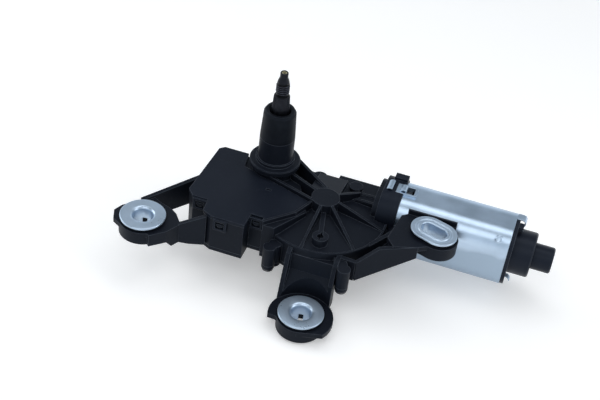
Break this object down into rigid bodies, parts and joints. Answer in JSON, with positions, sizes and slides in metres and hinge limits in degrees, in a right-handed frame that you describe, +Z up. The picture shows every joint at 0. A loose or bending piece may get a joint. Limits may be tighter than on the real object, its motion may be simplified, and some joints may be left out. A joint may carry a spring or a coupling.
{
  "type": "wiper motor",
  "caption": "Rear wiper motor with worm gear, oscillating hollow spindle in a tower, ribbed black gearbox housing and rubber-mounted lugs.",
  "frame": {"origin": "on the spindle's axis, at the top face of the flange that carries the tower", "axes": "+Z up the spindle, +X along the motor from the gears to its rear bearing, +Y away from the two front lugs"},
  "size_m": [0.2411, 0.1113, 0.1116],
  "materials": {
    "black_moulding": "moulded, satin, faint bluish sheen",
    "black_lid": "moulded, satin",
    "black_cap": "moulded, semi-gloss",
    "black_rubber": "matte",
    "zinc_can": "drawn steel, zinc plated, smooth",
    "zinc_plate": "zinc plated, bright",
    "dark_steel": "oiled, turned",
    "lamination_steel": "stacked sheet edges",
    "ferrite": "pressed ferrite, matte",
    "sintered_bronze": "porous, oiled",
    "tinned_brass": "bright",
    "copper": "enamelled wire and bars",
    "carbon": "pressed carbon, matte",
    "wheel_plastic": "natural acetal, satin",
    "board_laminate": "green laminate, satin",
    "component_plastic": "moulded, satin"
  },
  "bodies": {
    "motor_and_gearbox": {"gearbox_housing": "black_moulding", "spindle_tower": "black_moulding", "bottom_cover": "black_moulding", "cover_screws": "zinc_plate", "electronics_cover": "black_lid", "circuit_board": "board_laminate", "board_components": "component_plastic", "connector_socket": "black_lid", "connector_pins": "tinned_brass", "spindle_bush_upper": "sintered_bronze", "spindle_bush_lower": "sintered_bronze", "spindle_seal": "black_rubber", "tower_sleeve": "black_rubber", "water_tube": "tinned_brass", "wheel_axle": "dark_steel", "grommet_left": "black_rubber", "grommet_front": "black_rubber", "grommet_right": "black_rubber", "bush_left": "zinc_plate", "bush_front": "zinc_plate", "bush_right": "zinc_plate", "motor_can": "zinc_can", "magnets": "ferrite", "brush_holder": "black_lid", "brush_plate": "component_plastic", "brushes": "carbon", "brush_springs": "zinc_plate", "motor_terminals": "tinned_brass", "choke_coils": "copper", "earth_clip": "zinc_plate", "end_cap": "black_cap", "rear_bearing": "sintered_bronze", "front_bearing": "sintered_bronze", "thrust_ball": "dark_steel"},
    "armature": {"armature_shaft": "dark_steel", "armature_stack": "lamination_steel", "windings": "copper", "commutator": "copper"},
    "worm_wheel": {"worm_wheel": "wheel_plastic", "crank_pin": "dark_steel"},
    "spindle": {"spindle": "dark_steel", "spindle_lever": "dark_steel", "spindle_spacer": "dark_steel", "spindle_clip": "dark_steel"},
    "drive_link": {"drive_link": "dark_steel"}
  },
  "joints": [
    {"name": "armature_spin", "type": "hinge", "parent": "motor_and_gearbox", "child": "armature", "pos_m": [0.1, 0.0048, -0.021], "axis": [1, 0, 0], "continuous": true},
    {"name": "wheel_spin", "type": "hinge", "parent": "motor_and_gearbox", "child": "worm_wheel", "pos_m": [0.0372, -0.0172, -0.021], "axis": [0, 0, 1], "continuous": true},
    {"name": "spindle_sweep", "type": "hinge", "parent": "motor_and_gearbox", "child": "spindle", "pos_m": [0, 0, 0], "axis": [0, 0, 1], "range_deg": [-50, 50]},
    {"name": "link_swing", "type": "hinge", "parent": "spindle", "child": "drive_link", "pos_m": [0.0044, 0.00953, -0.027], "axis": [0, 0, 1], "range_deg": [-50, 50]}
  ],
  "couplings": [
    {"joint": "wheel_spin", "follows": "armature_spin", "ratio": 0.022222},
    {"joint": "link_swing", "follows": "spindle_sweep", "ratio": -1}
  ]
}
